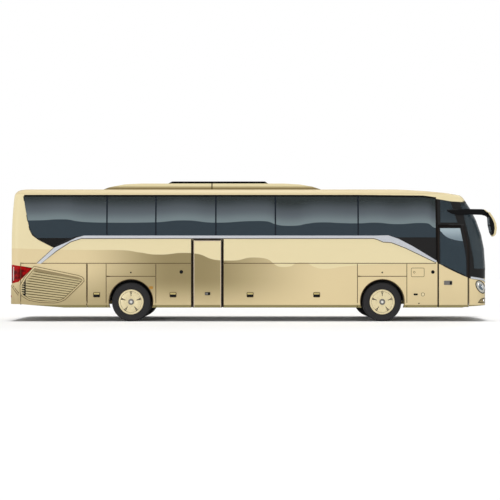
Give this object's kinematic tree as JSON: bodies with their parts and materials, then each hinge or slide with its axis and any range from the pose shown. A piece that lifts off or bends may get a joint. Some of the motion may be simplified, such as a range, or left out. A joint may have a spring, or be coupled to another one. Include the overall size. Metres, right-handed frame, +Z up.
{
  "type": "two-axle coach bus",
  "caption": "High-deck coach bus with swing-out passenger doors, side luggage flaps, a fitted cabin and steered front wheels.",
  "frame": {"origin": "on the ground, half way between the rear bumper and the mirror tips, on the centre line", "axes": "+X forward, +Y to the vehicle's left, +Z up"},
  "size_m": [13.405, 2.63, 3.9128],
  "materials": {
    "body_paint": "metallic gloss",
    "tinted_glass": "clear gloss",
    "silver_trim": "satin",
    "clear_lamp": "clear gloss",
    "red_lamp": "gloss",
    "black_plastic": "gloss",
    "tyre_rubber": "matt",
    "wheel_paint": "metallic gloss",
    "chassis_steel": "satin",
    "engine_iron": "cast",
    "floor_vinyl": "matt",
    "seat_fabric": "woven",
    "grey_plastic": "grained"
  },
  "bodies": {
    "root": {"side_wall_right": "body_paint", "side_wall_left": "body_paint", "lower_side_panels": "body_paint", "roof_panel": "body_paint", "front_panel": "body_paint", "rear_panel": "body_paint", "roof_unit": "body_paint", "waist_trims": "silver_trim", "windscreen": "tinted_glass", "windows": "tinted_glass", "headlamps": "clear_lamp", "tail_lamps": "red_lamp", "mirrors": "black_plastic", "floor_deck": "floor_vinyl", "wheel_housings": "chassis_steel", "luggage_bay": "floor_vinyl", "luggage_racks": "grey_plastic", "underframe": "chassis_steel", "tow_eyes": "chassis_steel", "front_axle": "chassis_steel", "rear_axle": "chassis_steel", "engine": "engine_iron", "seats": "seat_fabric", "seat_frames": "chassis_steel", "dashboard": "grey_plastic", "steering_wheel": "black_plastic"},
    "knuckle_left": {"knuckle_left": "chassis_steel"},
    "knuckle_right": {"knuckle_right": "chassis_steel"},
    "track_rod": {"track_rod": "chassis_steel"},
    "front_door": {"front_door": "body_paint", "front_door_glass": "tinted_glass"},
    "front_door_arm": {"front_door_arm": "chassis_steel"},
    "mid_door": {"mid_door": "body_paint"},
    "mid_door_arm": {"mid_door_arm": "chassis_steel"},
    "engine_lid": {"engine_lid": "body_paint"},
    "front_wheel_left": {"tyre_front_left": "tyre_rubber", "wheel_front_left": "wheel_paint"},
    "rear_wheels_left": {"tyres_rear_left": "tyre_rubber", "wheels_rear_left": "wheel_paint"},
    "front_wheel_right": {"tyre_front_right": "tyre_rubber", "wheel_front_right": "wheel_paint"},
    "rear_wheels_right": {"tyres_rear_right": "tyre_rubber", "wheels_rear_right": "wheel_paint"},
    "flap_right_rear": {"flap_right_rear": "body_paint"},
    "flap_right_narrow": {"flap_right_narrow": "body_paint"},
    "flap_right_mid": {"flap_right_mid": "body_paint"},
    "flap_right_main": {"flap_right_main": "body_paint"},
    "flap_left_rear": {"flap_left_rear": "body_paint"},
    "flap_left_mid": {"flap_left_mid": "body_paint"},
    "flap_left_main": {"flap_left_main": "body_paint"}
  },
  "joints": [
    {"name": "steer_left", "type": "hinge", "parent": "root", "child": "knuckle_left", "pos_m": [3.5605, 1.05, 0.535], "axis": [0, 0, 1], "range_deg": [-40, 40]},
    {"name": "steer_right", "type": "hinge", "parent": "root", "child": "knuckle_right", "pos_m": [3.5605, -1.05, 0.535], "axis": [0, 0, 1], "range_deg": [-40, 40]},
    {"name": "track_rod_turn", "type": "hinge", "parent": "knuckle_left", "child": "track_rod", "pos_m": [3.3805, 0.88, 0.42], "axis": [0, 0, 1], "range_deg": [-40, 40]},
    {"name": "front_wheel_spin_left", "type": "hinge", "parent": "knuckle_left", "child": "front_wheel_left", "pos_m": [3.5605, 1.09, 0.535], "axis": [0, 1, 0], "continuous": true},
    {"name": "rear_wheels_spin_left", "type": "hinge", "parent": "root", "child": "rear_wheels_left", "pos_m": [-3.3505, 0.92, 0.535], "axis": [0, 1, 0], "continuous": true},
    {"name": "front_wheel_spin_right", "type": "hinge", "parent": "knuckle_right", "child": "front_wheel_right", "pos_m": [3.5605, -1.09, 0.535], "axis": [0, 1, 0], "continuous": true},
    {"name": "rear_wheels_spin_right", "type": "hinge", "parent": "root", "child": "rear_wheels_right", "pos_m": [-3.3505, -0.92, 0.535], "axis": [0, 1, 0], "continuous": true},
    {"name": "flap_right_rear_lift", "type": "hinge", "parent": "root", "child": "flap_right_rear", "pos_m": [0, -1.275, 1.5861], "axis": [-1, 0, 0], "range_deg": [0, 95]},
    {"name": "flap_right_narrow_lift", "type": "hinge", "parent": "root", "child": "flap_right_narrow", "pos_m": [0, -1.275, 1.5861], "axis": [-1, 0, 0], "range_deg": [0, 95]},
    {"name": "flap_right_mid_lift", "type": "hinge", "parent": "root", "child": "flap_right_mid", "pos_m": [0, -1.275, 1.5861], "axis": [-1, 0, 0], "range_deg": [0, 95]},
    {"name": "flap_right_main_lift", "type": "hinge", "parent": "root", "child": "flap_right_main", "pos_m": [0, -1.275, 1.5861], "axis": [-1, 0, 0], "range_deg": [0, 95]},
    {"name": "flap_left_rear_lift", "type": "hinge", "parent": "root", "child": "flap_left_rear", "pos_m": [0, 1.275, 1.5861], "axis": [1, 0, 0], "range_deg": [0, 95]},
    {"name": "flap_left_mid_lift", "type": "hinge", "parent": "root", "child": "flap_left_mid", "pos_m": [0, 1.275, 1.5861], "axis": [1, 0, 0], "range_deg": [0, 95]},
    {"name": "flap_left_main_lift", "type": "hinge", "parent": "root", "child": "flap_left_main", "pos_m": [0, 1.275, 1.5861], "axis": [1, 0, 0], "range_deg": [0, 95]},
    {"name": "engine_lid_lift", "type": "hinge", "parent": "root", "child": "engine_lid", "pos_m": [-6.6835, 0, 2.2421], "axis": [0, 1, 0], "range_deg": [0, 80]},
    {"name": "front_door_swing", "type": "hinge", "parent": "root", "child": "front_door_arm", "pos_m": [5.8935, -1.145, 1], "axis": [0, 0, -1], "range_deg": [-150, 0]},
    {"name": "front_door_leaf", "type": "hinge", "parent": "front_door_arm", "child": "front_door", "pos_m": [5.4375, -1.195, 1], "axis": [0, 0, -1], "range_deg": [0, 150]},
    {"name": "mid_door_swing", "type": "hinge", "parent": "root", "child": "mid_door_arm", "pos_m": [-0.8855, -1.145, 1], "axis": [0, 0, -1], "range_deg": [-150, 0]},
    {"name": "mid_door_leaf", "type": "hinge", "parent": "mid_door_arm", "child": "mid_door", "pos_m": [-1.3415, -1.195, 1], "axis": [0, 0, -1], "range_deg": [0, 150]}
  ],
  "couplings": [
    {"joint": "steer_right", "follows": "steer_left", "ratio": 1},
    {"joint": "track_rod_turn", "follows": "steer_left", "ratio": -1},
    {"joint": "front_door_leaf", "follows": "front_door_swing", "ratio": -1},
    {"joint": "mid_door_leaf", "follows": "mid_door_swing", "ratio": -1}
  ]
}
